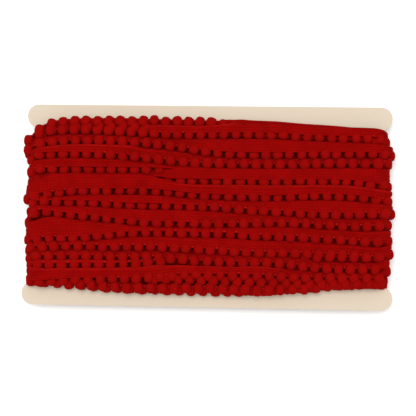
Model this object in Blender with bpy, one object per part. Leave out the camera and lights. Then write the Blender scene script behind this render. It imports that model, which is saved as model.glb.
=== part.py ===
# Red mini pom pom trim wound round a waisted card, lying on its back with its front up.
# Lengths in the tables are millimetres. X runs along the card, Y up the card and Z up from the floor.
import math

import bmesh
import bpy
import numpy as np

MM = 0.001

# Card
CARD_LENGTH = 200.0
CARD_HEIGHT = 110.0
CARD_THICK = 1.5
EAR_RADIUS = 6.0
# One quarter of the card's edge below its rounded end, as (x, y), from the ear down to the waist
EAR_TO_WAIST = (
    (100.0, 48.6),
    (99.6, 46.4),
    (98.3, 44.2),
    (96.0, 42.6),
    (93.0, 41.5),
    (90.6, 40.5),
    (89.3, 39.6),
    (89.0, 38.6),
)

# Winding: heights are measured from the card's middle plane
WAIST = 89.6  # half the length that the trim lies flat over, before it turns round the edge
PATH = 7.2  # height of the ball centres, where the trim keeps its true length
BALL_TOP = 10.2
BALL_JOIN = 8.3
ROW_VALLEY = 7.6
GAP_PIT = 6.2
SIDE_RELIEF = 0.5  # share of the relief that is left where the trim turns round the sides
CORNER_RELIEF = 0.15
RIM = 6.6  # height of the rounded top and bottom edges of the winding
RIM_DIP = 0.6
INSIDE = 1.4  # clear of the card's face
BALLS_PER_TURN = 63
FLOOR_PRESS = 0.2  # how far the pile of the back is pressed flat by the floor
FULL_SPACING = 6.5  # rows this far apart have a full valley between them

# Where the sides narrow the winding so that it stays between the ears
SIDE_FROM_Y = 27.0
SIDE_SQUEEZE = 0.42
SIDE_TURNED = 0.55  # the outer face has narrowed fully when its direction has dropped by this much
INSIDE_BLEND = 8.0  # the inner face narrows over this length before the turn

# Flat pads on the back that the pack rests on, as (x, y)
PADS = ((-64.0, 26.0), (64.0, 26.0), (0.0, -3.0), (-64.0, -26.0), (64.0, -26.0))
PAD_HALF = (8.5, 5.0)

STATIONS = (-90.0, -60.0, -30.0, 0.0, 30.0, 60.0, 90.0)
TOP_RIM = (44.4, 47.8, 47.9, 47.5, 46.9, 45.4, 43.3)
BOTTOM_RIM = (-45.3, -47.2, -48.7, -49.1, -48.5, -46.3, -44.0)

# Rows of balls from the top of the card down: heights y at the stations, and the x of a gap near the middle
ROWS = (
    {"y": (41.4, 44.7, 44.8, 44.5, 43.6, 42.2, 40.3), "gap_x": -0.8},
    {"y": (39.7, 40.5, 39.3, 39.0, 39.3, 38.4, 38.3), "gap_x": -0.7},
    {"y": (34.2, 35.5, 34.1, 30.8, 29.5, 29.7, 29.9), "gap_x": 2.1},
    {"y": (27.9, 27.8, 26.0, 23.9, 23.5, 23.8, 24.2), "gap_x": 3.0},
    {"y": (19.9, 20.8, 21.6, 21.3, 20.3, 19.0, 18.0), "gap_x": 2.6},
    {"y": (12.8, 15.3, 15.9, 15.0, 14.5, 14.9, 13.7), "gap_x": 1.6},
    {"y": (5.5, 8.1, 8.1, 6.5, 5.9, 6.3, 5.3), "gap_x": 1.6},
    {"y": (1.8, 1.5, 0.5, -0.2, -1.8, -2.7, -2.9), "gap_x": -1.1},
    {"y": (-4.1, -6.2, -8.7, -8.8, -8.1, -8.7, -9.1), "gap_x": -0.1},
    {"y": (-18.7, -16.5, -14.2, -14.4, -15.5, -16.2, -17.9), "gap_x": 3.2},
    {"y": (-22.1, -21.7, -21.7, -23.4, -24.1, -24.7, -25.7), "gap_x": -1.0},
    {"y": (-28.0, -27.5, -27.2, -29.0, -29.2, -31.0, -31.5), "gap_x": -2.8},
    {"y": (-32.5, -31.8, -30.2, -31.4, -32.3, -33.5, -34.1), "gap_x": -0.8},
    {"y": (-39.6, -39.2, -38.2, -36.2, -35.9, -36.5, -36.6), "gap_x": -1.7},
    {"y": (-41.4, -41.0, -40.3, -39.2, -39.8, -39.8, -39.4), "gap_x": 1.3},
    {"y": (-43.2, -43.0, -43.3, -43.7, -43.2, -42.1, -41.4), "gap_x": -0.8},
)

ARC = math.pi * PATH
TURN = 4 * WAIST + 2 * ARC
CARD_Z = BALL_TOP - FLOOR_PRESS


def clear_scene():
    for thing in list(bpy.data.objects):
        bpy.data.objects.remove(thing)


def make_material(name, colour, roughness):
    material = bpy.data.materials.new(name)
    material.use_nodes = True
    shader = material.node_tree.nodes["Principled BSDF"]
    shader.inputs["Base Color"].default_value = (*colour, 1.0)
    shader.inputs["Roughness"].default_value = roughness
    return material


def card_outline():
    """The quarter edge from the middle of the top to the waist, mirrored into a closed outline."""
    end = CARD_LENGTH / 2
    top = CARD_HEIGHT / 2
    quarter = []
    for step in range(7):
        angle = math.pi / 2 * (1 - step / 6)
        x = end - EAR_RADIUS + EAR_RADIUS * math.cos(angle)
        y = top - EAR_RADIUS + EAR_RADIUS * math.sin(angle)
        quarter.append((x, y))
    quarter += EAR_TO_WAIST
    right = quarter + [(x, -y) for x, y in reversed(quarter)]
    return right + [(-x, y) for x, y in reversed(right)]


def make_card(collection):
    curve = bpy.data.curves.new("card", "CURVE")
    curve.dimensions = "2D"
    curve.fill_mode = "BOTH"
    curve.extrude = CARD_THICK / 2 * MM
    outline = card_outline()
    spline = curve.splines.new("POLY")
    spline.points.add(len(outline) - 1)
    for point, (x, y) in zip(spline.points, outline):
        point.co = (x * MM, y * MM, 0.0, 1.0)
    spline.use_cyclic_u = True
    card = bpy.data.objects.new("card", curve)
    card.location.z = CARD_Z * MM
    collection.objects.link(card)
    curve.materials.append(make_material("card_board", (0.76, 0.64, 0.51), 0.85))
    return card


def loop_place(s):
    """Where s lies on the loop round the card: x of the turning centre, direction out (x, z), and the flat share."""
    s = s % TURN
    if s > TURN / 2:
        x, out_x, out_z, along = loop_place(TURN - s)
        return x, out_x, -out_z, along
    if s < WAIST:
        return s, 0.0, 1.0, s
    if s < WAIST + ARC:
        angle = (s - WAIST) / PATH
        return WAIST, math.sin(angle), math.cos(angle), WAIST
    return TURN / 2 - s, 0.0, -1.0, TURN / 2 - s


def place_on_loop(s):
    """As loop_place, but with s from the middle of the front, positive to the right and negative to the left."""
    if s % TURN <= TURN / 2:
        return loop_place(s)
    x, out_x, out_z, along = loop_place(TURN - s % TURN)
    return -x, -out_x, out_z, -along


def eased(share):
    share = min(1.0, max(0.0, share))
    return share * share * (3 - 2 * share)


def narrowed(y, near):
    """Draws y in toward the middle at the two sides, where the trim turns between the ears."""
    extra = max(0.0, abs(y) - SIDE_FROM_Y)
    return math.copysign(abs(y) - extra * SIDE_SQUEEZE * near, y)


def line_at(y, ball, gap, shift, rim=False):
    """One line of the section: its height at the balls and at the gaps, and how far its gaps are moved along."""
    return {"y": y, "ball": ball, "gap": gap, "shift": shift, "rim": rim}


def section_lines(along):
    """The section's lines from the inside of the top edge, over the outer face, to the inside of the bottom edge."""
    heights = [float(np.interp(along, STATIONS, row["y"])) for row in ROWS]
    top = float(np.interp(along, STATIONS, TOP_RIM))
    bottom = float(np.interp(along, STATIONS, BOTTOM_RIM))
    edges = [top + 3.0, *heights, bottom - 3.0]
    lines = [
        line_at(top - 1.2, INSIDE, INSIDE, 0.0, rim=True),
        line_at(top, RIM, RIM - RIM_DIP, ROWS[0]["gap_x"], rim=True),
    ]
    for index, row in enumerate(ROWS):
        y = heights[index]
        room = min(1.0, (edges[index] - edges[index + 2]) / (2 * FULL_SPACING))
        join = BALL_TOP - (BALL_TOP - BALL_JOIN) * room
        lines.append(line_at(y, BALL_TOP, join, row["gap_x"]))
        if index + 1 == len(ROWS):
            break
        spacing = y - heights[index + 1]
        full = min(1.0, spacing / FULL_SPACING)
        valley = BALL_TOP - (BALL_TOP - ROW_VALLEY) * full
        pit = BALL_TOP - (BALL_TOP - GAP_PIT) * full
        lines.append(line_at(y - spacing / 2, valley, pit, row["gap_x"]))
    lines.append(line_at(bottom, RIM, RIM - RIM_DIP, ROWS[-1]["gap_x"], rim=True))
    lines.append(line_at(bottom + 1.2, INSIDE, INSIDE, 0.0, rim=True))
    return lines


def on_pad(x, y):
    return any(abs(x - px) < PAD_HALF[0] and abs(y - py) < PAD_HALF[1] for px, py in PADS)


def winding_point(column, line):
    """The place of one grid point: column runs round the card and line runs over the section."""
    base = column * TURN / (2 * BALLS_PER_TURN)
    shift = section_lines(place_on_loop(base)[3])[line]["shift"]
    x, out_x, out_z, along = place_on_loop(base + shift)
    item = section_lines(along)[line]
    high = item["gap"] if column % 2 == 0 else item["ball"]
    if high > INSIDE:
        turned = eased((1 - abs(out_z)) / SIDE_TURNED)
        y = narrowed(item["y"], turned)
        if not item["rim"]:
            left = CORNER_RELIEF if abs(item["y"]) > SIDE_FROM_Y else SIDE_RELIEF
            high = BALL_TOP - (BALL_TOP - high) * (1 - (1 - left) * turned)
        if out_z < -0.99 and on_pad(x, y):
            high = BALL_TOP
    else:
        y = narrowed(item["y"], eased((abs(along) - WAIST + INSIDE_BLEND) / INSIDE_BLEND))
    z = max(0.0, CARD_Z + high * out_z)
    return (x + high * out_x) * MM, y * MM, z * MM


def split_toward_balls(work, lines):
    """Cuts each four-sided face from a ball's top to the pit across it, so that every ball is an even mound."""
    for face in list(work.faces):
        tops = [vert for vert in face.verts if vert.index // lines % 2 == 1 and vert.index % lines % 2 == 0]
        if len(tops) != 1:
            continue
        corners = list(face.verts)
        across = corners[(corners.index(tops[0]) + 2) % 4]
        bmesh.utils.face_split(face, tops[0], across)


def make_winding(collection):
    lines = len(section_lines(0.0))
    columns = 2 * BALLS_PER_TURN
    bpy.ops.mesh.primitive_torus_add(major_segments=columns, minor_segments=lines)
    winding = bpy.context.active_object
    winding.name = "wound_trim"
    mesh = winding.data
    mesh.name = "wound_trim"
    for index, vertex in enumerate(mesh.vertices):
        vertex.co = winding_point(*divmod(index, lines))
    work = bmesh.new()
    work.from_mesh(mesh)
    work.verts.ensure_lookup_table()
    split_toward_balls(work, lines)
    bmesh.ops.recalc_face_normals(work, faces=work.faces)
    if work.calc_volume(signed=True) < 0:
        bmesh.ops.reverse_faces(work, faces=work.faces)
    work.to_mesh(mesh)
    work.free()
    for face in mesh.polygons:
        face.use_smooth = True
    mesh.materials.clear()
    mesh.materials.append(make_material("trim_red", (0.40, 0.008, 0.006), 0.9))
    for owner in list(winding.users_collection):
        owner.objects.unlink(winding)
    collection.objects.link(winding)
    return winding


def main():
    clear_scene()
    collection = bpy.data.collections.new("pom_pom_trim")
    bpy.context.scene.collection.children.link(collection)
    make_card(collection)
    make_winding(collection)


main()
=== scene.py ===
import math

import bpy
import numpy as np
from mathutils import Matrix


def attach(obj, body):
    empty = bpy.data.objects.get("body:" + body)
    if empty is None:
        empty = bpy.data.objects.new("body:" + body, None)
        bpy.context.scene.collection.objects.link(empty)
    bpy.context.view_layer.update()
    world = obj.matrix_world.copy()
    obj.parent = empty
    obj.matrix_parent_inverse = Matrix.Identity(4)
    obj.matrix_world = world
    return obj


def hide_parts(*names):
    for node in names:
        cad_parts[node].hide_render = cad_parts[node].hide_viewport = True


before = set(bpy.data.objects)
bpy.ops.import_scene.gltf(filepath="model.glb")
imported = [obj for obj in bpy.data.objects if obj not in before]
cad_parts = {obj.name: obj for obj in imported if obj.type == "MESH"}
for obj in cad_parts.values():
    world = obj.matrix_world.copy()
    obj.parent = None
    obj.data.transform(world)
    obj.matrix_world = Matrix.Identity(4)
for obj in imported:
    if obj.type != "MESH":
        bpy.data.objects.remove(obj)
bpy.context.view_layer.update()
mm = 0.001

# Red mini pom pom trim on its card. X runs along the rows, Y up the card, Z out of the front.
# The strand's route is worked out in millimetres and made metres where a mesh is made.

winding = {
    "waist": 89.6,  # half the flat length of one face
    "middle": 10.0,  # height of the card's middle above the floor
    "level": 7.2,  # ball centres above the card's middle
    "backLevel": 7.05,
    "underLevel": 4.3,  # the turns of the layer below
    "ballSpacing": 6.46,
    "quarterBalls": 7,  # balls between a row's measured gap and its outer quarters
    "halfBalls": 20,  # enough to pass the end of a row
    "overrun": 2.0,  # how far a row's gaps may lie past the flat length
    "drawnFrom": 27.0,  # beyond this y the sides draw the layer below in, between the card's ears
    "drawnBy": 0.42,
    "drawnRound": 0.55,  # how far round each bend that reaches
    "hidden": -2.55,  # a row sunk deeper than this on the front keeps its heading only
}

# The turns on the front, from the top of the card down, in millimetres.
# y, sink, cover, over, dip and reach are knots (x, value) from the left of the row to the right.
# y is the line of the ball centres. sink is negative where another row pushes them in.
# gapX is a gap between two balls near the middle, and spacing the ball spacing in each quarter.
# cover: 0 where the balls stand out of the heading, 1 where it lies right over them.
# over: how far the heading's top is raised to the fronts of the balls above.
# dip: where the heading is tucked straight in, above the ball centres.
# reach: how much further up the heading is drawn.
# left, right: the y at which the turn rounds the card's side, how far it stands out there,
# and how much of its balls the heading wraps.
turns = (
    {"y": ((-91, 40.5), (-86, 43.0), (-80, 43.8), (-73, 44.4), (-60, 44.9), (-30, 45.0), (0, 44.6),
           (8, 44.2), (15, 42.6), (24, 41.6), (36, 41.2), (52, 40.0), (68, 39.1), (82, 37.7), (91, 35.4)),
     "gapX": -1.4, "spacing": (6.32, 6.13, 6.28, 6.28), "cover": ((-90, 0.1), (8, 0.1), (20, 0.5)),
     "sink": ((-90, 0), (3, 0), (8, -2.5), (90, -2.5)),
     "dip": ((-110, 1.6), (3, 1.6), (9, 2.9), (13, 3.9), (20, 5.0), (90, 5.0)),
     "left": (33.7, 2.6, 0), "right": (34.6, -2.0, 0.4)},
    {"y": ((-91, 38.2), (-84, 39.5), (-73, 40.0), (-54, 39.7), (-38, 38.9), (-15, 37.9), (0, 38.2),
           (28, 38.4), (43, 38.1), (52, 37.5), (62, 37.2), (90, 36.7)),
     "gapX": -0.8, "spacing": (6.27, 6.27, 6.42, 6.42),
     "cover": ((-91, 0.1), (-36, 0.1), (-27, 0.6), (-10, 0.8), (20, 0.85), (90, 0.8)),
     "over": ((-91, 0), (-37, 0), (-29, 0.8), (10, 0.8), (20, 0), (90, 0)),
     "reach": ((-91, 0), (4, 0), (12, 1.8), (84, 1.8), (92, 0)),
     "left": (31.3, -1.5, 0), "right": (35.0, -1.0, 0.4)},
    {"y": ((-91, 32.1), (-84, 33.1), (-73, 33.9), (-59, 34.2), (-46, 33.6), (-32, 33.1), (-20, 31.7),
           (-7, 29.8), (0, 28.9), (15, 27.6), (45, 27.9), (90, 28.6)),
     "gapX": 2.5, "spacing": (6.37, 6.51, 6.43, 6.28),
     "cover": ((-91, 0.1), (-20, 0.05), (-5, 0.4), (8, 0.9), (40, 0.85), (90, 0.8)),
     "left": (28.2, 2.8, 0), "right": (28.6, 1.9, 0.4)},
    {"y": ((-91, 26.1), (-75, 26.9), (-60, 26.7), (-45, 26.2), (-32, 24.5), (-19, 23.8), (-6, 22.6),
           (0, 22.3), (30, 22.2), (60, 22.8), (90, 23.1)),
     "gapX": 3.4, "spacing": (6.47, 6.58, 6.52, 6.48),
     "cover": ((-91, 0.95), (-60, 0.8), (-50, 0.6), (-40, 0.3), (-30, 0.1), (90, 0.0)),
     "over": ((-91, 0.8), (-42, 0.8), (-34, 0), (90, 0)),
     "left": (22.4, 0.0, 0.4), "right": (24.3, 1.0, 0.4)},
    {"y": ((-91, 18.3), (-75, 18.6), (-60, 18.7), (-30, 18.8), (0, 18.6), (30, 18.2), (90, 17.0)),
     "gapX": -22.9, "spacing": (6.40, 6.42, 6.42, 6.42), "cover": ((-92, 0.4), (-78, 1.0), (90, 1.0)),
     "sink": ((-90, 0), (-33, 0), (-18, -3.0), (90, -3.0)),
     "left": (16.3, 0.0, 0.4), "right": (17.3, -3.0, 0.4)},
    {"y": ((-90, 12.0), (-80, 13.5), (-73, 13.7), (-60, 14.4), (-30, 14.4), (-15, 12.9), (0, 12.9),
           (30, 12.8), (45, 13.1), (60, 13.4), (75, 13.4), (90, 11.8)),
     "gapX": 1.6, "spacing": (6.43, 6.43, 6.46, 6.25),
     "cover": ((-90, 0.3), (-70, 0.3), (-64, 1.0), (2, 1.0), (12, 0.9), (90, 0.85)),
     "over": ((-91, 0), (-70, 0), (-62, 1), (-34, 1), (-24, 0), (90, 0)),
     "sink": ((-90, -2.5), (-82, -1.6), (-70, -1.6), (-64, -3.0), (-25, -3.0), (-13, -0.5), (-4, 0), (90, 0)),
     "left": (7.5, 0.3, 0.4), "right": (11.2, 0.0, 0.4)},
    {"y": ((-91, 4.0), (-83, 4.9), (-77, 5.8), (-70, 6.7), (-60, 7.0), (-31, 7.2), (-17, 6.3), (-8, 5.3),
           (8, 4.7), (30, 4.5), (45, 5.0), (60, 5.7), (75, 5.5), (87, 4.5), (92, 3.8)),
     "gapX": 2.1, "spacing": (6.54, 6.57, 6.61, 6.45), "cover": ((-90, 0.9), (90, 0.85)),
     "over": ((-91, 0), (-22, 0), (-8, 0.8), (90, 0.8)),
     "reach": ((-91, 0), (-68, 0), (-62, 1.0), (-34, 1.0), (-26, 0), (90, 0)),
     "left": (1.9, 1.0, 0.4), "right": (3.6, 1.0, 0.4)},
    {"y": ((-91, 0.4), (-71, 0.6), (-58, 0.3), (-45, -0.4), (-30, -0.6), (-15, -0.8), (0, -1.0),
           (15, -1.9), (30, -2.9), (45, -3.5), (60, -4.1), (79, -4.2), (91, -3.8)),
     "gapX": 1.2, "spacing": (6.65, 6.54, 6.58, 6.33),
     "cover": ((-90, 0.8), (-20, 0.95), (-6, 0.75), (2, 0.35), (30, 0.35), (42, 0.7), (90, 0.7)),
     "left": (-4.4, -0.8, 0.4), "right": (-3.5, 1.8, 0.4)},
    {"y": ((-90, -4.7), (-77, -5.9), (-60, -7.5), (-45, -9.1), (-30, -10.2), (-15, -10.2), (0, -10.3),
           (15, -10.1), (30, -9.3), (45, -9.2), (60, -10.0), (75, -10.6), (90, -10.5)),
     "gapX": -3.0, "spacing": (6.63, 6.72, 6.69, 6.48),
     "cover": ((-90, 0.8), (-12, 0.75), (0, 0.3), (60, 0.2), (90, 0.2)),
     "left": (-10.9, 0.0, 0.4), "right": (-9.4, 0.0, 0.4)},
    {"y": ((-93, -20.4), (-88, -19.7), (-82, -19.3), (-69, -19.0), (-62, -18.1), (-55, -17.5), (-49, -16.4),
           (-42, -15.9), (-30, -15.3), (0, -15.5), (16, -15.7), (23, -16.4), (49, -16.7), (61, -17.2),
           (68, -17.5), (75, -18.1), (88, -18.7)),
     "gapX": 3.4, "spacing": (6.48, 6.52, 6.50, 6.55),
     "cover": ((-90, 0.8), (-60, 0.75), (30, 0.7), (48, 0.45), (90, 0.2)),
     "left": (-20.3, 0.3, 0.4), "right": (-17.5, 0.9, 0.4)},
    {"y": ((-92, -24.2), (-78, -23.5), (-65, -23.3), (-52, -23.4), (-39, -23.1), (-26, -23.1), (-13, -23.8),
           (0, -24.2), (12, -24.6), (25, -25.4), (45, -25.5), (60, -25.7), (75, -26.0), (90, -27.0)),
     "gapX": -0.5, "spacing": (6.60, 6.42, 6.47, 6.28),
     "cover": ((-90, 0.75), (-40, 0.7), (-15, 0.5), (30, 0.4), (50, 0.2), (90, 0.2)),
     "left": (-25.5, -0.6, 0.4), "right": (-24.5, 1.2, 0.4)},
    {"y": ((-90, -29.1), (-75, -28.8), (-60, -28.7), (-45, -29.0), (-30, -28.7), (-15, -29.4), (0, -30.6),
           (30, -30.8), (42, -31.0), (50, -32.1), (60, -33.1), (75, -33.4), (90, -33.3)),
     "gapX": -2.2, "spacing": (6.68, 6.48, 6.40, 6.32),
     "cover": ((-90, 0.45), (-60, 0.4), (-45, 0.1), (0, 0.15), (20, 0.3), (45, 0.2), (55, 0.05), (90, 0.1)),
     "dip": ((-91, 20), (46, 20), (58, 3.6), (90, 3.6)),
     "left": (-30.4, -1.3, 0.4), "right": (-28.8, -0.6, 0.4)},
    {"y": ((-90, -33.5), (-80, -33.5), (-67, -33.1), (-54, -32.8), (-40, -32.2), (-27, -31.3), (-14, -30.6),
           (15, -31.7), (45, -33.5), (90, -34.1)),
     "gapX": -27.2, "spacing": (6.57, 6.65, 6.65, 6.65),
     "cover": ((-90, 0.75), (-55, 0.75), (-35, 0.95), (-16, 0.95), (-9, 0), (90, 0)),
     "over": ((-91, 0.7), (-30, 0.7), (-18, 0), (90, 0)),
     "sink": ((-90, 0), (-26, 0), (-14, -4.3), (90, -4.3)),
     "left": (-33.7, -2.5, 0.4), "right": (-31.5, -2.0, 0.4)},
    {"y": ((-90, -43.0), (-79, -42.0), (-66, -41.1), (-47, -40.5), (-34, -40.1), (-21, -38.9), (-8, -37.7),
           (30, -37.6), (45, -38.4), (60, -38.4), (90, -38.5)),
     "gapX": -1.4, "spacing": (6.59, 6.42, 6.49, 6.40),
     "cover": ((-90, 0.95), (-66, 0.75), (-50, 0.6), (-25, 0.5), (-5, 0.7), (25, 0.7), (36, 0.3), (90, 0.2)),
     "over": ((-91, 0.8), (35, 0.8), (45, 0), (90, 0)),
     "dip": ((-91, 20), (-37, 20), (-30, 6.7), (-18, 5.8), (-4, 4.7), (16, 4.5), (34, 4.6),
             (46, 4.4), (90, 4.0)),
     "left": (-41.2, -1.5, 0.4), "right": (-33.6, -0.3, 0.4)},
    {"y": ((-90, -41.0), (-45, -40.6), (-15, -40.4), (0, -40.6), (15, -41.1), (45, -41.8), (65, -41.5),
           (90, -41.2)),
     "gapX": 1.3, "spacing": (6.30, 6.30, 6.41, 6.33), "cover": ((-90, 0.1), (90, 0.1)),
     "sink": ((-90, -3.0), (-36, -3.0), (-20, -1.0), (90, -0.8)),
     "dip": ((-91, 9), (-28, 9), (-20, 1.8), (90, 1.8)),
     "left": (-36.0, -3.2, 0.4), "right": (-39.0, -1.9, 0.4)},
    {"y": ((-90, -42.6), (-60, -44.1), (-45, -45.1), (-30, -45.5), (0, -44.9), (15, -45.3), (30, -45.4),
           (45, -44.9), (60, -43.5), (75, -41.8), (90, -41.0)),
     "gapX": -0.2, "spacing": (6.36, 6.41, 6.24, 6.28), "cover": ((-90, 0.15), (90, 0.15)),
     "sink": ((-90, -2.5), (-74, -2.5), (-62, -0.3), (48, -0.2), (62, -2.2), (90, -2.5)),
     "dip": ((-91, 9), (-46, 9), (-38, 2.4), (-18, 2.4), (-8, 1.6), (90, 1.6)),
     "left": (-39.5, -3.2, 0.4), "right": (-41.1, -2.1, 0.4)},
)

# The back runs of the same strand, each between two turns of the front:
# y at the card's right side, y at its left side, and cover.
backRuns = (
    (41.8, 41.0, 0.3), (37.4, 36.0, 0.6), (34.0, 31.4, 0.2), (28.4, 26.0, 0.6), (23.0, 20.2, 0.7),
    (17.5, 13.9, 0.3), (11.6, 8.2, 0.1), (5.2, 1.8, 0.6), (-1.4, -5.0, 0.4), (-7.8, -12.2, 0.7),
    (-15.0, -19.0, 0.2), (-21.4, -25.0, 0.5), (-27.2, -30.6, 0.65), (-32.5, -36.2, 0.3), (-37.8, -40.6, 0.1),
    (-42.3, -44.6, 0.5), (-46.2, -46.4, 0.2),
)

# Turns of the layer below that show between the rows and past the bottom one. rise lifts them off that layer.
underTurns = (
    {"y": ((-91, 37.8), (-84, 40.2), (-73, 41.4), (-52, 41.9), (-33, 41.7), (0, 40.6), (90, 37.0)),
     "gapX": -36.6, "spacing": (6.40, 6.40, 6.30, 6.30),
     "rise": ((-90, 0.2), (-84, 1.8), (-36, 2.4), (-27, 0.2), (90, 0.2)), "cover": 0.1, "dip": 4.9},
    {"y": ((-90, -26.4), (50, -27.2), (66, -27.0), (79, -27.2), (90, -26.7)),
     "gapX": 63.0, "spacing": (6.40, 6.40, 6.40, 6.40),
     "rise": ((-90, 0), (48, 0), (60, 2.4), (90, 2.4)), "cover": 0.1, "dip": 2.0},
    {"y": ((-94, -42.3), (-80, -42.5), (-73, -43.2), (-60, -44.4), (-47, -45.2), (-34, -45.7), (-20, -45.9),
           (-7, -46.2), (12, -46.2), (24, -45.9), (38, -45.0), (51, -43.8), (63, -42.1), (78, -41.4),
           (93, -40.3)),
     "gapX": 2.3, "spacing": (6.60, 6.55, 6.43, 6.25),
     "rise": ((-90, 0), (90, 0)), "cover": 0.1, "dip": 1.2},
)

# How the strand runs beyond its measured rows, in millimetres of length
route = {
    "startsLate": 40.0,  # left out of the first back run
    "lastRun": 1.3,  # the last back run, in half flat lengths
    "endSink": -2.6,  # both ends are tucked in under the back's turns
    "endSlope": 18.0,  # over this length
    "firstBall": 3.0,  # from each end to its first ball, at least
    "lastBall": 2.0,
    "noTuck": 20,  # a dip that tucks nothing in
    "firstTuck": 1.6,  # dip of the first back run
    "bendShare": 0.32,  # cover and wrap hold over this share of a bend to each side
    "bendCover": 0.1,  # the cover there where nothing is wrapped
    "closest": 0.5,  # a knot nearer than this to the one before is left out
    "backStraight": 24,  # from a back run's ends inward: it is straight from here,
    "backLevelled": 14,  # at its own level and cover from here,
    "backWrapped": 8,  # and wrapped up to here
    "backTucked": 12,  # its dip holds up to here before its end
    "inSight": -1.4,  # a row sunk deeper isn't in sight
    "apart": 1.5,  # rows closer than this count as one
    "farOff": 17,  # farther than this no row lies above,
    "openSpacing": 8.0,  # and this distance is used
    "evenedOver": (-9, -6, -3, 0, 3, 6, 9),  # places along the row whose mean distance counts
}

waist = winding["waist"]
arc = math.pi * winding["level"]
turnLength = 4 * waist + 2 * arc


def operators(operation):
    # An operator and its reflected form, so that 1 - mask works too
    def straight(term, other):
        return term.bench.math(operation, term, other)

    def reflected(term, other):
        return term.bench.math(operation, other, term)

    return straight, reflected


class Term:
    # One socket in a sum: values meet through Math nodes, plain numbers stay numbers
    def __init__(self, bench, socket):
        self.bench = bench
        self.socket = socket

    __add__, __radd__ = operators("ADD")
    __sub__, __rsub__ = operators("SUBTRACT")
    __mul__, __rmul__ = operators("MULTIPLY")
    __truediv__, __rtruediv__ = operators("DIVIDE")
    __pow__, __rpow__ = operators("POWER")


class Made:
    # A node, read by output name or number
    def __init__(self, bench, node):
        self.bench = bench
        self.raw = node

    def __getitem__(self, output):
        return Term(self.bench, self.raw.outputs[output])


class Bench:
    # Adds nodes to one tree, shader or geometry
    def __init__(self, tree):
        self.tree = tree

    def node(self, kind, values=None, **settings):
        raw = self.tree.nodes.new(kind)
        for name, value in settings.items():
            setattr(raw, name, value)
        for name, value in (values or {}).items():
            self.feed(raw.inputs[name], value)
        return Made(self, raw)

    def feed(self, socket, value):
        if isinstance(value, Term):
            self.tree.links.new(value.socket, socket)
        else:
            socket.default_value = value

    def math(self, operation, first, second=0.0):
        return self.node("ShaderNodeMath", {0: first, 1: second}, operation=operation)[0]

    def eased(self, value, low, high):
        span = {"Value": value, "From Min": low, "From Max": high}
        return self.node("ShaderNodeMapRange", span, interpolation_type="SMOOTHSTEP")[0]

    def mixColour(self, share, first, second):
        return self.node("ShaderNodeMix", {0: share, 6: first, 7: second}, data_type="RGBA")[2]

    def scaled(self, vector, by):
        return self.node("ShaderNodeVectorMath", {0: vector, "Scale": by}, operation="SCALE")["Vector"]

    def joined(self, first, second):
        return self.node("ShaderNodeVectorMath", {0: first, 1: second}, operation="ADD")["Vector"]

    def noise(self, vector, scale, detail, roughness=0.5):
        return self.node("ShaderNodeTexNoise", {
            "Vector": vector, "Scale": scale, "Detail": detail, "Roughness": roughness})[0]

    def moved(self, geometry, place):
        return self.node("GeometryNodeSetPosition", {"Geometry": geometry, "Position": place})["Geometry"]

    def named(self, name, kind="FLOAT"):
        return self.node("GeometryNodeInputNamedAttribute", {"Name": name}, data_type=kind)["Attribute"]

    def stored(self, geometry, name, value):
        told = {"Geometry": geometry, "Name": name, "Value": value}
        node = self.node("GeometryNodeStoreNamedAttribute", told, data_type="FLOAT", domain="POINT")
        return node["Geometry"]


def placed(name, data):
    thing = bpy.data.objects.new(name, data)
    bpy.context.scene.collection.objects.link(thing)
    return thing


def newGrowth(name, inputs):
    # A geometry tree with named inputs
    tree = bpy.data.node_groups.new(name, "GeometryNodeTree")
    tree.interface.new_socket("Geometry", in_out="INPUT", socket_type="NodeSocketGeometry")
    for label, kind in inputs:
        tree.interface.new_socket(label, in_out="INPUT", socket_type="NodeSocket" + kind)
    tree.interface.new_socket("Geometry", in_out="OUTPUT", socket_type="NodeSocketGeometry")
    bench = Bench(tree)
    return bench, bench.node("NodeGroupInput")


def closeGrowth(bench, geometry, material):
    realized = bench.node("GeometryNodeRealizeInstances", {"Geometry": geometry})
    smooth = bench.node("GeometryNodeSetShadeSmooth", {"Geometry": realized["Geometry"]})
    painted = bench.node("GeometryNodeSetMaterial", {"Geometry": smooth["Geometry"], "Material": material})
    bench.node("NodeGroupOutput", {"Geometry": painted["Geometry"]})
    return bench.tree


def grown(name, source, tree, values, material):
    # Runs the tree on the source and keeps the result as one plain mesh
    modifier = source.modifiers.new("growth", "NODES")
    modifier.node_group = tree
    for item in tree.interface.items_tree:
        if item.in_out == "INPUT" and item.name in values:
            modifier[item.identifier] = values[item.name]
        elif item.in_out == "INPUT" and item.name == "Material":
            modifier[item.identifier] = material
    bpy.context.view_layer.update()
    graph = bpy.context.evaluated_depsgraph_get()
    result = source.evaluated_get(graph)
    mesh = bpy.data.meshes.new_from_object(result, preserve_all_data_layers=True, depsgraph=graph)
    mesh.name = name
    source.modifiers.remove(modifier)
    bpy.data.objects.remove(source)
    return placed(name, mesh)


def pointMesh(name, points, edges, attributes):
    mesh = bpy.data.meshes.new(name)
    mesh.from_pydata([tuple(p) for p in points], edges, [])
    for label, values in attributes.items():
        values = np.asarray(values, float)
        kind, key = ("FLOAT_VECTOR", "vector") if values.ndim == 2 else ("FLOAT", "value")
        mesh.attributes.new(label, kind, "POINT").data.foreach_set(key, values.ravel())
    return placed(name, mesh)


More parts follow.
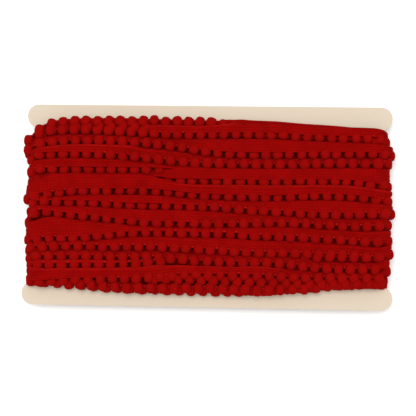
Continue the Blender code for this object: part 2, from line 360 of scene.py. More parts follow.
def through(knots, at):
    # A smooth line through the knots that never overshoots them
    xs = np.array([k[0] for k in knots], float)
    ys = np.array([k[1] for k in knots], float)
    step = np.diff(xs)
    rise = np.diff(ys) / step
    slope = np.zeros(len(xs))
    slope[0], slope[-1] = rise[0], rise[-1]
    same = rise[1:] * rise[:-1] > 0
    a, b = rise[:-1][same], rise[1:][same]
    slope[1:-1][same] = 2 * a * b / (a + b)
    at = np.clip(at, xs[0], xs[-1])
    i = np.clip(np.searchsorted(xs, at) - 1, 0, len(step) - 1)
    t = (at - xs[i]) / step[i]
    h = step[i]
    return ((1 + 2 * t) * (1 - t) ** 2 * ys[i] + t * (1 - t) ** 2 * h * slope[i]
            + t * t * (3 - 2 * t) * ys[i + 1] + t * t * (t - 1) * h * slope[i + 1])


def loopPlace(u):
    # Where length u lies round the card: the turning centre's x, and the way out as (x, z)
    s = np.mod(u + waist, turnLength) - waist  # from the middle of the front
    right = (s > waist) & (s <= waist + arc)
    back = (s > waist + arc) & (s <= 3 * waist + arc)
    left = s > 3 * waist + arc
    angle = np.where(right, (s - waist) / winding["level"], 0)
    angle = np.where(back, math.pi, angle)
    angle = np.where(left, math.pi + (s - 3 * waist - arc) / winding["level"], angle)
    x = np.where(right, waist, np.where(back, 2 * waist + arc - s, np.where(left, -waist, s)))
    return x, np.sin(angle), np.cos(angle)


def spots(u, y, high):
    # Points at length u, y up the card and high above its middle plane, in millimetres
    x, outX, outZ = loopPlace(u)
    return np.stack([x + outX * high, y + 0 * x, winding["middle"] + outZ * high], 1)


def waysAt(u):
    # The ways up the card and out of the winding
    _, outX, outZ = loopPlace(u)
    flat = np.zeros(len(u))
    return {"upWay": np.stack([flat, flat + 1, flat], 1), "outWay": np.stack([outX, flat, outZ], 1)}


def drawnIn(u, y):
    # The layer below, pulled in at the sides between the card's ears
    _, _, outZ = loopPlace(u)
    extra = np.maximum(0, np.abs(y) - winding["drawnFrom"])
    near = np.clip((1 - np.abs(outZ)) / winding["drawnRound"], 0, 1)
    return np.sign(y) * (np.abs(y) - extra * winding["drawnBy"] * near * near * (3 - 2 * near))


def gapsOf(turn):
    # The gaps between the balls of one front row, from left to right
    a, b, c, d = turn["spacing"]
    right = [turn["gapX"]]
    left = [turn["gapX"]]
    for n in range(winding["halfBalls"]):
        inner = n < winding["quarterBalls"]
        right.append(right[-1] + (c if inner else d))
        left.append(left[-1] - (b if inner else a))
    return [x for x in left[:0:-1] + right if abs(x) <= waist + winding["overrun"]]


def evenly(start, end):
    # Ball places strictly between two balls, at about the usual spacing
    count = round((end - start) / winding["ballSpacing"])
    return [start + (end - start) * n / count for n in range(1, count)]


def rowPlaces(turn, start):
    # Length u of the balls of one row, halfway between its gaps
    gaps = gapsOf(turn)
    return [(p + q) / 2 + start for p, q in zip(gaps, gaps[1:])]


class Strand:
    # The whole main winding as functions of length
    def __init__(self):
        self.first = -(waist * 3 + arc - route["startsLate"])
        self.last = (len(turns) - 1) * turnLength + waist + arc + waist * route["lastRun"]
        self.knots = {"y": [], "sink": [], "cover": [], "over": [], "dip": [], "wrap": [], "reach": []}
        for number, turn in enumerate(turns):
            self.layTurn(number * turnLength, turn)
        for number, run in enumerate(backRuns):
            tuck = route["noTuck"] if number else route["firstTuck"]
            self.layBack((number - 1) * turnLength + waist + arc, run, tuck)
        self.knots["sink"] += [(self.first, route["endSink"]), (self.first + route["endSlope"], 0)]
        self.knots["sink"] += [(self.last - route["endSlope"], 0), (self.last, route["endSink"])]
        for key, knots in self.knots.items():
            knots.sort()
            self.knots[key] = [k for n, k in enumerate(knots)
                               if n == 0 or k[0] - knots[n - 1][0] > route["closest"]]

    def layTurn(self, start, turn):
        still = {"sink": 0, "over": 0, "dip": route["noTuck"], "wrap": 0, "reach": 0}
        for key in self.knots:
            knots = turn.get(key) or ((-90, still[key]), (90, still[key]))
            self.knots[key] += [(start + x, value) for x, value in knots]
        for side, (y, out, wrap) in ((-1, turn["left"]), (1, turn["right"])):
            bend = start + side * (waist + arc / 2)
            cover = route["bendCover"] + (1 - route["bendCover"]) * wrap
            self.knots["y"].append((bend, y))
            self.knots["sink"].append((bend, out))
            for place in (bend - arc * route["bendShare"], bend + arc * route["bendShare"]):
                self.knots["cover"].append((place, cover))
                self.knots["wrap"].append((place, wrap))

    def layBack(self, begin, run, tuck):
        yRight, yLeft, cover = run
        end = begin + 2 * waist
        for key, inset, first, last in (
                ("y", route["backStraight"], yRight, yLeft), ("sink", route["backLevelled"], 0, 0),
                ("cover", route["backLevelled"], cover, cover), ("wrap", route["backWrapped"], 0, 0),
                ("over", 0, 0, 0)):
            self.knots[key] += [(begin + inset, first), (end - inset, last)]
        self.knots["dip"] += [(begin, tuck), (end - route["backTucked"], tuck)]

    def read(self, key, u):
        return through(self.knots[key], u)

    def high(self, u):
        # Ball centres above the card's middle plane, a little lower on the back
        _, _, outZ = loopPlace(u)
        level = np.where(outZ < -0.5, winding["backLevel"], winding["level"])
        return level + self.read("sink", u)

    def spacingAbove(self, u):
        # Distance up to the next turn in sight, evened out along the row
        return np.mean([self.spacingAt(u + shift) for shift in route["evenedOver"]], axis=0)

    def spacingAt(self, u):
        here = self.read("y", u)
        best = np.full(len(u), route["farOff"] + 1.0)
        for back in (1, 2, 3):
            before = u - back * turnLength
            away = self.read("y", before) - here
            inSight = (self.read("sink", before) > route["inSight"]) & (before > self.first)
            best = np.where(inSight & (away > route["apart"]) & (away < best), away, best)
        return np.where(best > route["farOff"], route["openSpacing"], best)

    def ballPlaces(self):
        # Length u of every ball: measured rows on the front, evenly spread round the back between them
        places = []
        for number, turn in enumerate(turns):
            row = rowPlaces(turn, number * turnLength)
            if places:
                places += evenly(places[-1], row[0])
            places += row
        step = winding["ballSpacing"]
        before = np.arange(places[0] - step, self.first + route["firstBall"], -step)[::-1]
        after = np.arange(places[-1] + step, self.last - route["lastBall"], step)
        return np.concatenate([before, places, after])


heading = {
    "upperEdge": 6.0,  # where the tape ends above the ball centres
    "widest": 14.5,  # where it ends between rows that lie far apart
    "lowerEdge": -0.4,  # where it begins, against the ball centres
    "edgeRise": 0.9,  # how much higher it begins where it covers the balls
    "wrapUpper": 4.4,  # both edges where it wraps the balls round the card's sides
    "wrapLower": -2.6,
    "sectionPoints": 20,  # points round the tape's section
    "thick": 0.7,
    "ribHeight": 0.13,
    "ribs": 4,
    "bulge": 0.55,  # how far each ball pushes the tape out
    "bareBulge": 0.4,  # share of that where the balls stand out of it
    "hold": 3.4,  # how far above the ball centres the tape still follows the balls
    "bareLift": -0.7,  # how far out its lower part lies where the balls stand out
    "coverLift": 2.65,  # and where it lies over them
    "coverFall": 1.2,  # how far the covering tape's edge sinks back between the balls
    "fallEdges": (-0.4, 1.3),  # where that starts and ends, against the ball centres
    "bareUpper": 0.0,  # its upper part, where the balls stand out and where it lies over them
    "upperLift": 1.4,
    "overLift": 2.3,  # raised to the balls above, and round the card's sides
    "wrapLift": 1.7,
    "dipAngle": 76.0,  # how steeply the tape dives under the balls of the row above
    "tuckAngle": 100.0,  # and where it is tucked straight in
    "dipBefore": 2.6,  # where it starts to, below their centres
    "overDip": 0.3,  # how much later where it is raised to them
    "pastDip": 1.5,  # how far it reaches on under them
    "rimEdges": (-0.9, -0.1),  # painted highlight along the tape's top edge where it lies on the row above, against where the tape dives
}


def withQuarters(places):
    # Tape stations: at every ball, at every gap and halfway between, with 1 at a ball and 0 at a gap
    step = np.diff(places)
    us = np.concatenate([places[:-1] + step * k / 4 for k in range(4)] + [places[-1:]])
    crest = np.concatenate([np.full(len(step), v) for v in (1.0, 0.5, 0.0, 0.5)] + [[1.0]])
    order = np.argsort(us)
    return us[order], crest[order]


def tapeStations(strand, us, crest):
    # Ball line, the tape's ways up and out, and its levels at each station
    cover = strand.read("cover", us)
    over = strand.read("over", us)
    tuck = strand.read("dip", us)
    wrap = strand.read("wrap", us)
    above = strand.spacingAbove(us)
    # The upper part is fully lifted from half cover on
    upper = heading["bareUpper"] + (heading["upperLift"] - heading["bareUpper"]) * np.clip(cover * 2, 0, 1)
    dip = above - heading["dipBefore"] + over * heading["overDip"]
    return {
        "base": spots(us, strand.read("y", us), strand.high(us)),
        **waysAt(us),
        "crest": crest * np.clip(cover + heading["bareBulge"], 0, 1),
        "lowLevel": heading["bareLift"] + (heading["coverLift"] - heading["bareLift"]) * cover,
        "highLevel": upper + (heading["overLift"] - upper) * over + (heading["wrapLift"] - upper) * wrap,
        "fall": heading["coverFall"] * cover * (1 - wrap),
        "lowerEdge": heading["lowerEdge"] + heading["edgeRise"] * cover * (1 - wrap)
        + (heading["wrapLower"] - heading["lowerEdge"]) * wrap,
        "upperEdge": np.clip(dip + heading["pastDip"], heading["upperEdge"], heading["widest"])
        + (heading["wrapUpper"] - heading["upperEdge"]) * wrap + strand.read("reach", us),
        "onTop": over,
        "dipFrom": np.minimum(dip, tuck),
        "dipTurn": np.radians(np.where(tuck < dip, heading["tuckAngle"], heading["dipAngle"])),
    }


def tapeTree():
    bench, incoming = newGrowth("tapeAlongPath", (
        ("Thickness", "Float"), ("Rib Height", "Float"), ("Ribs", "Float"), ("Bulge", "Float"),
        ("Hold", "Float"), ("Material", "Material")))
    line = bench.node("GeometryNodeMeshToCurve", {"Mesh": incoming["Geometry"]})
    spline = bench.node("GeometryNodeSplineParameter")
    path = bench.stored(line["Curve"], "run", spline["Length"])
    # The section's points run up the outer face and down the inner one, as shares of the width.
    # The two points at the tape's edges lie on neither side.
    section = bench.node("GeometryNodeCurvePrimitiveCircle", {
        "Resolution": heading["sectionPoints"], "Radius": mm})
    index = bench.node("GeometryNodeInputIndex")[0]
    facePoints = heading["sectionPoints"] / 2
    climb = bench.math("PINGPONG", index, facePoints) * (1 / facePoints)
    inside = bench.math("LESS_THAN", bench.math("ABSOLUTE", climb - 0.5), 0.49)
    side = bench.math("SIGN", facePoints - 0.5 - index) * inside
    profile = bench.stored(bench.stored(section["Curve"], "share", climb), "faceSide", side)
    solid = bench.node("GeometryNodeCurveToMesh", {
        "Curve": path, "Profile Curve": profile, "Fill Caps": True})

    share = bench.named("share")
    across = share * (bench.named("upperEdge") - bench.named("lowerEdge")) + bench.named("lowerEdge")
    ribbed = bench.math("SINE", share * incoming["Ribs"] * math.tau - math.pi / 2) * incoming["Rib Height"]
    reach = bench.node("ShaderNodeClamp", {"Value": bench.math("ABSOLUTE", across) / incoming["Hold"]})[0]
    hug = (1.0 - reach * reach) ** 0.5
    pushed = bench.named("lowLevel") - bench.named("highLevel") + bench.named("crest") * incoming["Bulge"]
    low, high = (edge * mm for edge in heading["fallEdges"])
    fallen = (1.0 - bench.eased(across, low, high)) * bench.named("fall") * (1.0 - bench.named("crest"))
    level = bench.named("highLevel") + pushed * hug - fallen
    # Past the dip the tape turns in, with a small soft bend
    past = across - bench.named("dipFrom")
    softness = 0.2 * mm * mm
    dive = (past + (past * past + softness) ** 0.5) * 0.5
    upward = across - dive * (1.0 - bench.math("COSINE", bench.named("dipTurn")))
    half = incoming["Thickness"] * 0.5 + ribbed
    outward = level - dive * bench.math("SINE", bench.named("dipTurn")) + bench.named("faceSide") * half
    lifted = bench.joined(bench.scaled(bench.named("upWay", "FLOAT_VECTOR"), upward),
                          bench.scaled(bench.named("outWay", "FLOAT_VECTOR"), outward))
    place = bench.joined(bench.named("base", "FLOAT_VECTOR"), lifted)
    measured = bench.stored(bench.moved(solid["Mesh"], place), "across", across)
    # Painted highlight: the top edge is marked where it lies on the row above
    low, high = (edge * mm for edge in heading["rimEdges"])
    rim = bench.eased(past, low, high) * bench.named("onTop")
    rimmed = bench.stored(measured, "rim", rim)
    outside = bench.node("GeometryNodeFlipFaces", {"Mesh": rimmed})
    return closeGrowth(bench, outside["Mesh"], incoming["Material"])


def makeTape(name, stations, tree, material, closed=False):
    # The levels go in as metres, the ways, shares and turns as they are
    count = len(stations["base"])
    edges = [(n, n + 1) for n in range(count - 1)] + ([(count - 1, 0)] if closed else [])
    unscaled = ("upWay", "outWay", "crest", "onTop", "dipTurn")
    carried = {key: values if key in unscaled else values * mm for key, values in stations.items()}
    source = pointMesh(name + "Line", stations["base"] * mm, edges, carried)
    values = {
        "Thickness": heading["thick"] * mm, "Rib Height": heading["ribHeight"] * mm,
        "Ribs": float(heading["ribs"]), "Bulge": heading["bulge"] * mm, "Hold": heading["hold"] * mm,
    }
    tape = grown(name, source, tree, values, material)
    for key in stations:
        tape.data.attributes.remove(tape.data.attributes[key])
    return dressed(tape)


pomPoms = {
    "radius": 2.95,
    "slimness": (0.91, 1.0, 0.985),  # along the row, up the card and out of it
    "squareness": 2.8,  # 2 is a round ball
    "cells": 3,  # faces along each edge of the cube that is blown up into a ball
    "lumpHeight": 0.5,
    "lumpSize": 2.5,
    "jitter": 0.15,  # of the places
    "jitterShares": ((1.0,), (1.0,), (0.5,)),  # along the row, up the card and out of it
    "sizeSpread": 0.045,
    "spin": 0.2,
    "clearance": 0.1,  # no ball comes nearer to the floor
    "seed": 5,
    "seeds": {"front": 11, "back": 12, "under": 30, "stitches": 50},
}

stitches = {
    "size": (0.62, 0.30, 0.28),  # half lengths
    "above": 0.9,  # above the ball centres
    "climb": 0.4,  # and how much higher where the tape covers the balls
    "fallShare": 0.2,  # how far they follow the tape's edge as it sinks back between the balls
    "smallest": 0.3,  # they stand out unevenly
    "seed": 1.0,
}


def ballTree():
    bench, incoming = newGrowth("pomPomsOnPoints", (
        ("Ball Radius", "Float"), ("Squareness", "Float"), ("Cells", "Int"), ("Lump Height", "Float"),
        ("Lump Size", "Float"), ("Seed", "Float"), ("Material", "Material")))
    corners = bench.math("ADD", incoming["Cells"], 1.0)
    cube = bench.node("GeometryNodeMeshCube", {
        "Size": (1.0, 1.0, 1.0), "Vertices X": corners, "Vertices Y": corners, "Vertices Z": corners})
    # Neighbours press each ball a little square
    place = bench.node("GeometryNodeInputPosition")["Position"]
    aim = bench.node("ShaderNodeVectorMath", {0: place}, operation="NORMALIZE")["Vector"]
    sides = bench.node("ShaderNodeSeparateXYZ", {0: aim})
    total = 0.0
    for axis in "XYZ":
        total = bench.math("ABSOLUTE", sides[axis]) ** incoming["Squareness"] + total
    radius = incoming["Ball Radius"] * total ** (-1.0 / incoming["Squareness"])
    ball = bench.moved(cube["Mesh"], bench.scaled(aim, radius))
    turned = bench.node("FunctionNodeEulerToRotation", {"Euler": bench.named("turned", "FLOAT_VECTOR")})
    strewn = bench.node("GeometryNodeInstanceOnPoints", {
        "Points": incoming["Geometry"], "Instance": ball, "Rotation": turned["Rotation"],
        "Scale": bench.named("size", "FLOAT_VECTOR")})
    real = bench.node("GeometryNodeRealizeInstances", {"Geometry": strewn["Instances"]})
    where = bench.node("GeometryNodeInputPosition")["Position"]
    lumps = bench.node("ShaderNodeTexNoise", {
        "Vector": where, "W": incoming["Seed"], "Scale": 1.0 / incoming["Lump Size"], "Detail": 1.0},
        noise_dimensions="4D")
    push = (lumps[0] - 0.5) * incoming["Lump Height"]
    normal = bench.node("GeometryNodeInputNormal")["Normal"]
    lumpy = bench.node("GeometryNodeSetPosition", {
        "Geometry": real["Geometry"], "Offset": bench.scaled(normal, push)})
    # The balls of the back are pressed flat by what they lie on
    parts = bench.node("ShaderNodeSeparateXYZ", {0: where})
    flat = bench.node("ShaderNodeCombineXYZ", {
        "X": parts["X"], "Y": parts["Y"], "Z": bench.math("MAXIMUM", parts["Z"], pomPoms["clearance"] * mm)})
    return closeGrowth(bench, bench.moved(lumpy["Geometry"], flat[0]), incoming["Material"])


def facing(us, spin):
    # Turns that stand each instance's Z out of the winding and its X along the row, then spin it about Z
    _, outX, outZ = loopPlace(us)
    found = []
    for ox, oz, a in zip(outX, outZ, spin):
        basis = Matrix(((oz, 0.0, -ox), (0.0, 1.0, 0.0), (ox, 0.0, oz))).transposed()
        found.append(tuple((basis @ Matrix.Rotation(a, 3, "Z")).to_euler()))
    return np.array(found)


def makeBalls(name, us, y, high, seed, tree, material):
    dice = np.random.default_rng(pomPoms["seed"] + seed)
    count = len(us)
    shift = dice.normal(0, pomPoms["jitter"], (3, count)) * np.array(pomPoms["jitterShares"])
    places = spots(us + shift[0], y + shift[1], high + shift[2])
    size = np.array(pomPoms["slimness"]) * (1 + dice.normal(0, pomPoms["sizeSpread"], (count, 3)))
    source = pointMesh(name + "Points", places * mm, (), {
        "turned": facing(us, dice.normal(0, pomPoms["spin"], count)), "size": size})
    values = {
        "Ball Radius": pomPoms["radius"] * mm, "Squareness": pomPoms["squareness"], "Cells": pomPoms["cells"],
        "Lump Height": pomPoms["lumpHeight"] * mm, "Lump Size": pomPoms["lumpSize"] * mm, "Seed": float(seed),
    }
    return dressed(grown(name, source, tree, values, material))


def makeStitches(strand, places, tree, material):
    # Loops of thread that hold the balls, seen as small stitches between them, coloured lighter than the
    # cloth as a painted highlight
    between = (places[1:] + places[:-1]) / 2
    held = tapeStations(strand, between, np.zeros(len(between)))
    above = stitches["above"] + stitches["climb"] * strand.read("cover", between)
    hug = np.sqrt(1 - (above / heading["hold"]) ** 2)
    surface = held["highLevel"] + (held["lowLevel"] - held["highLevel"]) * hug
    out = surface + heading["thick"] / 2 - held["fall"] * stitches["fallShare"]
    dice = np.random.default_rng(pomPoms["seed"] + pomPoms["seeds"]["stitches"])
    size = np.array(stitches["size"]) * dice.uniform(stitches["smallest"], 1, (len(between), 1))
    spot = held["base"] + held["outWay"] * out[:, None] + held["upWay"] * above[:, None]
    source = pointMesh("stitchPoints", spot * mm, (), {
        "turned": facing(between, np.zeros(len(between))), "size": size})
    values = {
        "Ball Radius": mm, "Squareness": 2.0, "Cells": 2,
        "Lump Height": 0.0, "Lump Size": mm, "Seed": stitches["seed"],
    }
    return dressed(grown("edgeStitches", source, tree, values, material))


underLoop = {
    "stations": 180,  # of the heading
    "lineCloses": 94.5,  # where the line of a turn is back at its start, left of the card's middle
    "riseCloses": 90.5,
    "sideLength": 12,  # a turn comes down to its layer over this length past the flat face
}


def makeUnderTurn(number, turn, trees, cloths):
    # A closed turn of the layer below, balls and heading
    us = rowPlaces(turn, 0)
    us = np.array(us + evenly(us[-1], us[0] + turnLength))
    startY, endY, startRise = turn["y"][0][1], turn["y"][-1][1], turn["rise"][0][1]
    down = waist + underLoop["sideLength"]
    lineEnd = (turnLength - underLoop["lineCloses"], startY)
    riseEnd = (turnLength - underLoop["riseCloses"], startRise)
    line = [*turn["y"], (waist + arc + waist, (startY + endY) / 2), lineEnd]
    rise = [*turn["rise"], (down, 0), (turnLength - down, 0), riseEnd]
    y = drawnIn(us, through(line, us))
    high = winding["underLevel"] + through(rise, us)
    seed = pomPoms["seeds"]["under"] + number
    makeBalls(f"underBalls{number}", us, y, high, seed, trees["balls"], cloths["pile"])
    at = np.linspace(-waist, turnLength - waist, underLoop["stations"], endpoint=False)
    levels = {
        "crest": 0.0, "fall": 0.0, "onTop": 0.0, "dipFrom": turn["dip"],
        "lowLevel": heading["bareLift"] + (heading["coverLift"] - heading["bareLift"]) * turn["cover"],
        "highLevel": heading["upperLift"],
        "lowerEdge": heading["lowerEdge"],
        "upperEdge": heading["upperEdge"],
        "dipTurn": math.radians(heading["tuckAngle"]),
    }
    makeTape(f"underTape{number}", {
        "base": spots(at, drawnIn(at, through(line, at)), winding["underLevel"] + through(rise, at)),
        **waysAt(at),
        **{key: np.full(len(at), level) for key, level in levels.items()},
    }, trees["tape"], cloths["tape"], closed=True)


sleeve = {
    "columns": 248,
    "lines": 28,  # across each face, with two more inside
    "top": 43.4,
    "bottom": -43.6,
    "high": 4.1,
    "edgeHigh": 2.6,
    "innerHigh": 1.6,
    "innerMargin": 2.0,  # the two inside lines lie this far from the edges
    "mounds": (0.2, 0.5),  # height of the balls' mounds on even and odd lines
}


def makeSleeve(material):
    # What lies deep under the rows, as one closed sleeve with the balls of that layer as low mounds. Its
    # darker red is painted shade.
    columns, lines = sleeve["columns"], sleeve["lines"]
    innerLines = (sleeve["bottom"] + sleeve["innerMargin"], sleeve["top"] - sleeve["innerMargin"])
    points = []
    for c in range(columns):
        u = np.array([c * turnLength / columns])
        mound = math.cos(math.tau * u[0] / winding["ballSpacing"])
        for n in range(lines + 2):
            y = sleeve["top"] + (sleeve["bottom"] - sleeve["top"]) * n / (lines - 1)
            high = sleeve["high"] + mound * sleeve["mounds"][n % 2]
            if n in (0, lines - 1):
                high = sleeve["edgeHigh"]
            elif n >= lines:
                y = innerLines[n - lines]
                high = sleeve["innerHigh"]
            points.append(spots(u, drawnIn(u, np.array([y])), high)[0] * mm)
    faces = []
    for c in range(columns):
        for n in range(lines + 2):
            ring, nextRing = c * (lines + 2), (c + 1) % columns * (lines + 2)
            after = (n + 1) % (lines + 2)
            faces.append((ring + n, ring + after, nextRing + after, nextRing + n))
    mesh = bpy.data.meshes.new("innerTurns")
    mesh.from_pydata([tuple(p) for p in points], [], faces)
    mesh.shade_smooth()
    mesh.materials.append(material)
    return dressed(placed("innerTurns", mesh))


# The reds: patch and fleck are the shares of broad and fine noise between deep and bright
pileLook = {
    "deep": (0.145, 0.0008, 0.0006), "bright": (0.285, 0.0026, 0.0020),
    "patch": 0.6, "fleck": 0.6, "patchScale": 90.0, "pileScale": 1500.0,
    "bump": 0.5, "depth": 0.0003, "roughness": 0.95, "gloss": 0.012, "sheen": 0.15,
}
tapeLook = {
    # edge: the colour of the painted highlight on the heading's top edge
    "deep": (0.130, 0.0006, 0.0005), "bright": (0.35, 0.0024, 0.0018), "edge": (0.40, 0.0070, 0.0050),
    "patch": 0.7, "fleck": 0.4, "patchScale": 140.0, "pileScale": 1700.0,
    "warpPitch": 0.0016, "weftPitch": 0.00135, "edgePitch": 0.0011,
    "bump": 0.8, "depth": 0.0004, "roughness": 0.85, "gloss": 0.012, "sheen": 0.08,
}
# The stitches' thread is real, but its lighter red is a painted highlight
threadHighlightLook = {
    "deep": (0.34, 0.008, 0.006), "bright": (0.48, 0.018, 0.014),
    "patch": 0.6, "fleck": 0.4, "patchScale": 300.0, "pileScale": 2500.0,
    "bump": 0.2, "depth": 0.0002, "roughness": 0.7, "gloss": 0.05, "sheen": 0.0,
}
# The layer deep under the rows: real trim, coloured darker than the pile as painted shade
innerShadeLook = {
    "deep": (0.10, 0.0005, 0.0004), "bright": (0.17, 0.0011, 0.0009),
    "patch": 0.7, "fleck": 0.4, "patchScale": 120.0, "pileScale": 1500.0,
    "bump": 0.5, "depth": 0.0003, "roughness": 0.95, "gloss": 0.02, "sheen": 0.0,
}


weave = {
    "sway": 1.2,  # how far each weft thread bends round the warp
    "warp": 0.4,  # shares of the two in the weave
    "weft": 0.6,
    "shade": (0.4, 0.3),  # painted shade following the weave's height, and an even darkening of the tape
    "picots": (0.3, 0.6),  # strength of the painted highlight on the tape's top edge, by picot stitch and evenly
    "relief": (0.3, 0.35),  # of the pile and of the weave in the bump
}
sheen = {"roughness": 0.5, "tint": (0.9, 0.02, 0.012, 1.0)}


def newMaterial(name):
    # A material, its shader, its bench and the place on the object
    material = bpy.data.materials.new(name)
    material.use_nodes = True
    bench = Bench(material.node_tree)
    here = bench.node("ShaderNodeTexCoord")["Object"]
    return material, material.node_tree.nodes["Principled BSDF"], bench, here


def finishShader(bench, shader, colour, relief, look):
    bump = bench.node("ShaderNodeBump", {
        "Strength": look["bump"], "Distance": look["depth"], "Height": relief})
    bench.feed(shader.inputs["Base Color"], colour)
    bench.feed(shader.inputs["Normal"], bump["Normal"])
    shader.inputs["Roughness"].default_value = look["roughness"]
    shader.inputs["Specular IOR Level"].default_value = look["gloss"]


def redCloth(name, look):
    # Matt dyed pile or tape: the colour wanders a little and the bump is the pile itself. The tape also gets
    # painted shade in its weave and a painted highlight on its top edge.
    material, shader, bench, here = newMaterial(name)
    wander = bench.noise(here, look["patchScale"], 2.0)
    pile = bench.noise(here, look["pileScale"], 3.0, 0.65)
    tone = wander * look["patch"] + pile * look["fleck"]
    colour = bench.mixColour(tone, (*look["deep"], 1.0), (*look["bright"], 1.0))
    relief = pile
    if "weftPitch" in look:
        run = bench.node("ShaderNodeAttribute", attribute_name="run")["Fac"]
        across = bench.node("ShaderNodeAttribute", attribute_name="across")["Fac"]
        warp = bench.math("SINE", across * (math.tau / look["warpPitch"]))
        weft = bench.math("SINE", run * (math.tau / look["weftPitch"]) + warp * weave["sway"])
        woven = warp * weave["warp"] + weft * weave["weft"]
        # Painted shade in the weave, following its height, plus an even darkening
        byHeight, evenPart = weave["shade"]
        colour = bench.mixColour(woven * byHeight + evenPart, colour, (*look["deep"], 1.0))
        # Painted highlight along the heading's top edge where it lies on the row above, broken up by its
        # picot stitches
        alongEdge, evenPart = weave["picots"]
        picots = bench.math("SINE", run * (math.tau / look["edgePitch"])) * alongEdge + evenPart
        rim = bench.node("ShaderNodeAttribute", attribute_name="rim")["Fac"]
        colour = bench.mixColour(rim * picots, colour, (*look["edge"], 1.0))
        relief = pile * weave["relief"][0] + woven * weave["relief"][1]
    finishShader(bench, shader, colour, relief, look)
    shader.inputs["Sheen Weight"].default_value = look["sheen"]
    shader.inputs["Sheen Roughness"].default_value = sheen["roughness"]
    shader.inputs["Sheen Tint"].default_value = sheen["tint"]
    return material


def dressed(piece):
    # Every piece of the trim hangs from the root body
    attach(piece, "root")
    return piece


def buildTrim():
    strand = Strand()
    cloths = {
        "pile": redCloth("velvetPile", pileLook),
        "tape": redCloth("wovenTape", tapeLook),
        "thread": redCloth("edgeThreadHighlight", threadHighlightLook),
        "inner": redCloth("deepTurnsShade", innerShadeLook),
    }
    trees = {"balls": ballTree(), "tape": tapeTree()}
    places = strand.ballPlaces()
    _, _, outZ = loopPlace(places)
    seen = (outZ < 1) | (strand.read("sink", places) > winding["hidden"])
    front = outZ > 0.05  # the bends belong to it down to the middle of the card
    for name, chosen, side in (("ballsFront", front & seen, "front"), ("ballsBack", ~front, "back")):
        us = places[chosen]
        seed = pomPoms["seeds"][side]
        makeBalls(name, us, strand.read("y", us), strand.high(us), seed, trees["balls"], cloths["pile"])
        print(name, len(us))
    us, crest = withQuarters(places)
    tape = makeTape("headingTape", tapeStations(strand, us, crest), trees["tape"], cloths["tape"])
    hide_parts("wound_trim")
    print("headingTape", len(us), "stations")
    makeStitches(strand, places, trees["balls"], cloths["thread"])
    for number, turn in enumerate(underTurns):
        makeUnderTurn(number + 1, turn, trees, cloths)
    makeSleeve(cloths["inner"])
    print("layer below done")


board = {
    "dark": (0.555, 0.468, 0.362),
    "light": (0.595, 0.506, 0.398),
    "cloudScale": 22.0,
    "fibreScale": (260.0, 1500.0, 1500.0),  # fibres lie along the card
    "fleckScale": 2600.0,
    "toneShares": (0.5, 0.35, 0.15),  # of clouds, fibres and flecks
    "reliefShares": (0.6, 0.4),  # of fibres and flecks
    "bump": 0.25,
    "depth": 0.0002,
    "roughness": 0.82,
    "gloss": 0.25,
}


def boardMaterial():
    material, shader, bench, here = newMaterial("creamBoard")
    stretched = bench.node("ShaderNodeMapping", {"Vector": here, "Scale": board["fibreScale"]})[0]
    cloud = bench.noise(here, board["cloudScale"], 3.0)
    fibre = bench.noise(stretched, 1.0, 3.0)
    fleck = bench.noise(here, board["fleckScale"], 1.0)
    cloudShare, fibreShare, fleckShare = board["toneShares"]
    tone = cloud * cloudShare + fibre * fibreShare + fleck * fleckShare
    colour = bench.mixColour(tone, (*board["dark"], 1.0), (*board["light"], 1.0))
    relief = fibre * board["reliefShares"][0] + fleck * board["reliefShares"][1]
    finishShader(bench, shader, colour, relief, board)
    return material


def buildCard():
    cream = boardMaterial()
    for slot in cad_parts["card"].material_slots:
        slot.material = cream
    print("card dressed")


studio = {
    "world": 0.74,
    "lamps": {
        "key": {"place": (-0.10, 0.16, 2.0), "size": 1.3, "power": 31.0},
    },
    "floorTone": (0.94, 0.94, 0.935),
    "floorRoughness": 0.9,
    "floorReach": 3.0,
}


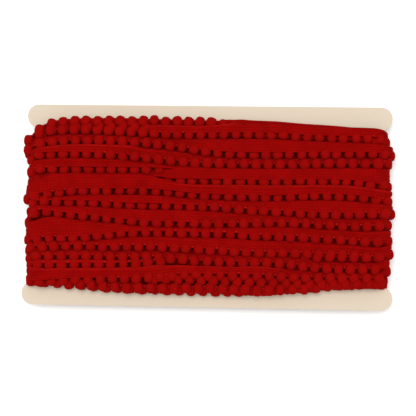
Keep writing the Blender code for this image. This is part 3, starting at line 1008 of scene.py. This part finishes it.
def setStage():
    world = bpy.data.worlds.new("studio")
    bpy.context.scene.world = world
    world.use_nodes = True
    sky = world.node_tree.nodes["Background"]
    sky.inputs["Color"].default_value = (1.0, 1.0, 1.0, 1.0)
    sky.inputs["Strength"].default_value = studio["world"]
    r = studio["floorReach"]
    floorMesh = bpy.data.meshes.new("floor")
    floorMesh.from_pydata([(-r, -r, 0), (r, -r, 0), (r, r, 0), (-r, r, 0)], [], [(0, 1, 2, 3)])
    floor = placed("floor", floorMesh)
    paper = bpy.data.materials.new("floorPaper")
    paper.use_nodes = True
    shader = paper.node_tree.nodes["Principled BSDF"]
    shader.inputs["Base Color"].default_value = (*studio["floorTone"], 1.0)
    shader.inputs["Roughness"].default_value = studio["floorRoughness"]
    floorMesh.materials.append(paper)
    for name, values in studio["lamps"].items():
        lamp = bpy.data.lights.new(name, "AREA")
        lamp.shape = "DISK"
        lamp.size = values["size"]
        lamp.energy = values["power"]
        holder = placed(name, lamp)
        holder.location = values["place"]
        holder.rotation_euler = (-holder.location.normalized()).to_track_quat("-Z", "Y").to_euler()
    bpy.context.scene.view_settings.view_transform = "Standard"


view = {
    "target": (0.0005, -0.0011, 0.0102),
    "distance": 0.628,
    "lens": 100.0,
    "sensor": 36.0,
    "clipStart": 0.01,
    "towardBottom": 5.87,  # degrees that the camera leans off straight above
    "towardRight": 3.07,
    "roll": 1.11,
}


def setCamera():
    a, b, roll = (math.radians(view[k]) for k in ("towardBottom", "towardRight", "roll"))
    back = np.array([math.sin(b) * math.cos(a), -math.sin(a), math.cos(b) * math.cos(a)])
    back /= np.linalg.norm(back)
    right = np.cross((0, 1, 0), back)
    right /= np.linalg.norm(right)
    up = np.cross(back, right)
    right, up = right * math.cos(roll) + up * math.sin(roll), up * math.cos(roll) - right * math.sin(roll)
    place = np.array(view["target"]) + back * view["distance"]
    lens = bpy.data.cameras.new("camera")
    lens.lens = view["lens"]
    lens.sensor_width = view["sensor"]
    lens.clip_start = view["clipStart"]
    camera = placed("camera", lens)
    columns = np.stack([right, up, back, place], 1)
    camera.matrix_world = Matrix([*map(tuple, columns), (0, 0, 0, 1)])
    bpy.context.scene.camera = camera


setCamera()
setStage()
buildCard()
buildTrim()
